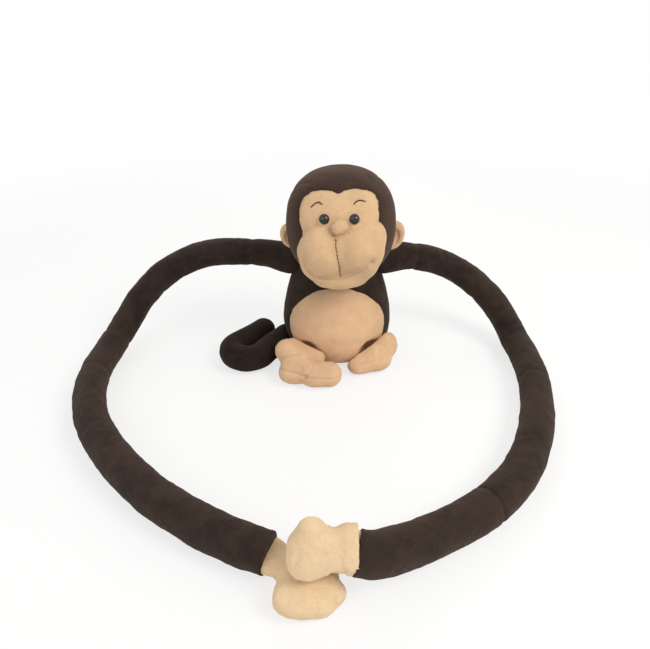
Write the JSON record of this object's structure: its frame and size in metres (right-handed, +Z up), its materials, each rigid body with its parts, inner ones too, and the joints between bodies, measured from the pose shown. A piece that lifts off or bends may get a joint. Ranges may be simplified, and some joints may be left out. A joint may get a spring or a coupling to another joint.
{
  "type": "stuffed monkey",
  "caption": "Plush monkey sitting upright, with very long tube arms joined at the hands into a loop, a light face, muzzle, belly, hands and feet, and a curled tail.",
  "frame": {"origin": "on the floor, under the middle of the flat seat", "axes": "+Z up, the toy faces -Y, +X towards the toy's own left hand"},
  "size_m": [0.5136, 0.4105, 0.2246],
  "materials": {
    "brown_plush": "short pile plush",
    "tan_plush": "short pile plush",
    "filling": "loose polyester fibre",
    "eye_plastic": "polished",
    "washer_plastic": "moulded",
    "dark_thread": "satin embroidery thread",
    "hook_tape": "woven tape with stiff hooks",
    "loop_tape": "woven tape with soft loops"
  },
  "bodies": {
    "torso": {"torso_shell": "brown_plush", "belly_panel": "tan_plush", "torso_filling": "filling"},
    "neck": {"neck_cover": "brown_plush", "neck_filling": "filling"},
    "head": {"head_shell": "brown_plush", "face_panel": "tan_plush", "head_filling": "filling", "muzzle_cover": "tan_plush", "muzzle_filling": "filling", "nose": "tan_plush", "right_eye": "eye_plastic", "left_eye": "eye_plastic", "right_eye_washer": "washer_plastic", "left_eye_washer": "washer_plastic", "right_brow": "dark_thread", "left_brow": "dark_thread", "mouth_stitching": "dark_thread", "philtrum_stitching": "dark_thread"},
    "ear_right": {"right_ear": "tan_plush"},
    "ear_left": {"left_ear": "tan_plush"},
    "upper_arm_right": {"right_upper_arm_sleeve": "brown_plush", "right_upper_arm_filling": "filling"},
    "forearm_right": {"right_forearm_sleeve": "brown_plush", "right_forearm_filling": "filling"},
    "lower_arm_right": {"right_lower_arm_sleeve": "brown_plush", "right_lower_arm_filling": "filling"},
    "hand_right": {"right_hand_cover": "tan_plush", "right_hand_filling": "filling", "loop_pad": "loop_tape"},
    "foot_right": {"right_foot_cover": "tan_plush", "right_foot_filling": "filling"},
    "upper_arm_left": {"left_upper_arm_sleeve": "brown_plush", "left_upper_arm_filling": "filling"},
    "forearm_left": {"left_forearm_sleeve": "brown_plush", "left_forearm_filling": "filling"},
    "lower_arm_left": {"left_lower_arm_sleeve": "brown_plush", "left_lower_arm_filling": "filling"},
    "hand_left": {"left_hand_cover": "tan_plush", "left_hand_filling": "filling", "hook_pad": "hook_tape"},
    "foot_left": {"left_foot_cover": "tan_plush", "left_foot_filling": "filling"},
    "tail_base": {"tail_base_cover": "brown_plush", "tail_base_filling": "filling"},
    "tail_tip": {"tail_tip_cover": "brown_plush", "tail_tip_filling": "filling"}
  },
  "joints": [
    {"name": "neck_turn", "type": "hinge", "parent": "torso", "child": "neck", "pos_m": [0, 0.005, 0.112], "axis": [0, 0, 1], "range_deg": [-20, 20]},
    {"name": "head_nod", "type": "hinge", "parent": "neck", "child": "head", "pos_m": [0, 0.005, 0.112], "axis": [1, 0, 0], "range_deg": [-6, 8]},
    {"name": "ear_right_flex", "type": "hinge", "parent": "head", "child": "ear_right", "pos_m": [-0.049, -0.015, 0.147], "axis": [0, 0, 1], "range_deg": [-12, 12], "stiffness_Nm_per_rad": 0.01},
    {"name": "ear_left_flex", "type": "hinge", "parent": "head", "child": "ear_left", "pos_m": [0.0585, -0.015, 0.147], "axis": [0, 0, 1], "range_deg": [-12, 12], "stiffness_Nm_per_rad": 0.01},
    {"name": "shoulder_right", "type": "hinge", "parent": "torso", "child": "upper_arm_right", "pos_m": [-0.052, 0.018, 0.1085], "axis": [-1, 0, 0], "range_deg": [0, 170]},
    {"name": "elbow_right", "type": "hinge", "parent": "upper_arm_right", "child": "forearm_right", "pos_m": [-0.244, 0.005, 0.048], "axis": [0, 0, -1], "range_deg": [0, 60]},
    {"name": "forearm_right_bend", "type": "hinge", "parent": "forearm_right", "child": "lower_arm_right", "pos_m": [-0.229, -0.177, 0.0165], "axis": [0, 0, -1], "range_deg": [0, 60]},
    {"name": "wrist_right", "type": "hinge", "parent": "lower_arm_right", "child": "hand_right", "pos_m": [-0.053, -0.306, 0.0165], "axis": [0, 0, 1], "range_deg": [-12, 12]},
    {"name": "shoulder_left", "type": "hinge", "parent": "torso", "child": "upper_arm_left", "pos_m": [0.052, 0.018, 0.1085], "axis": [-1, 0, 0], "range_deg": [0, 170]},
    {"name": "elbow_left", "type": "hinge", "parent": "upper_arm_left", "child": "forearm_left", "pos_m": [0.211, -0.01, 0.024], "axis": [0, 0, 1], "range_deg": [0, 60]},
    {"name": "forearm_left_bend", "type": "hinge", "parent": "forearm_left", "child": "lower_arm_left", "pos_m": [0.171, -0.202, 0.0165], "axis": [0, 0, 1], "range_deg": [0, 60]},
    {"name": "wrist_left_peel", "type": "hinge", "parent": "lower_arm_left", "child": "hand_left", "pos_m": [0.002, -0.315, 0.035], "axis": [0, 1, 0], "range_deg": [0, 60]},
    {"name": "hip_right", "type": "hinge", "parent": "torso", "child": "foot_right", "pos_m": [-0.031, -0.05, 0.02], "axis": [-1, 0, 0], "range_deg": [0, 6]},
    {"name": "hip_left", "type": "hinge", "parent": "torso", "child": "foot_left", "pos_m": [0.035, -0.045, 0.02], "axis": [-1, 0, 0], "range_deg": [0, 6]},
    {"name": "tail_swing", "type": "hinge", "parent": "torso", "child": "tail_base", "pos_m": [-0.0615, -0.01, 0.0161], "axis": [0, 0, -1], "range_deg": [0, 20]},
    {"name": "tail_uncurl", "type": "hinge", "parent": "tail_base", "child": "tail_tip", "pos_m": [-0.111, -0.06, 0.0161], "axis": [0, 0, 1], "range_deg": [0, 30]}
  ],
  "couplings": [
    {"joint": "shoulder_left", "follows": "shoulder_right", "ratio": 1}
  ]
}
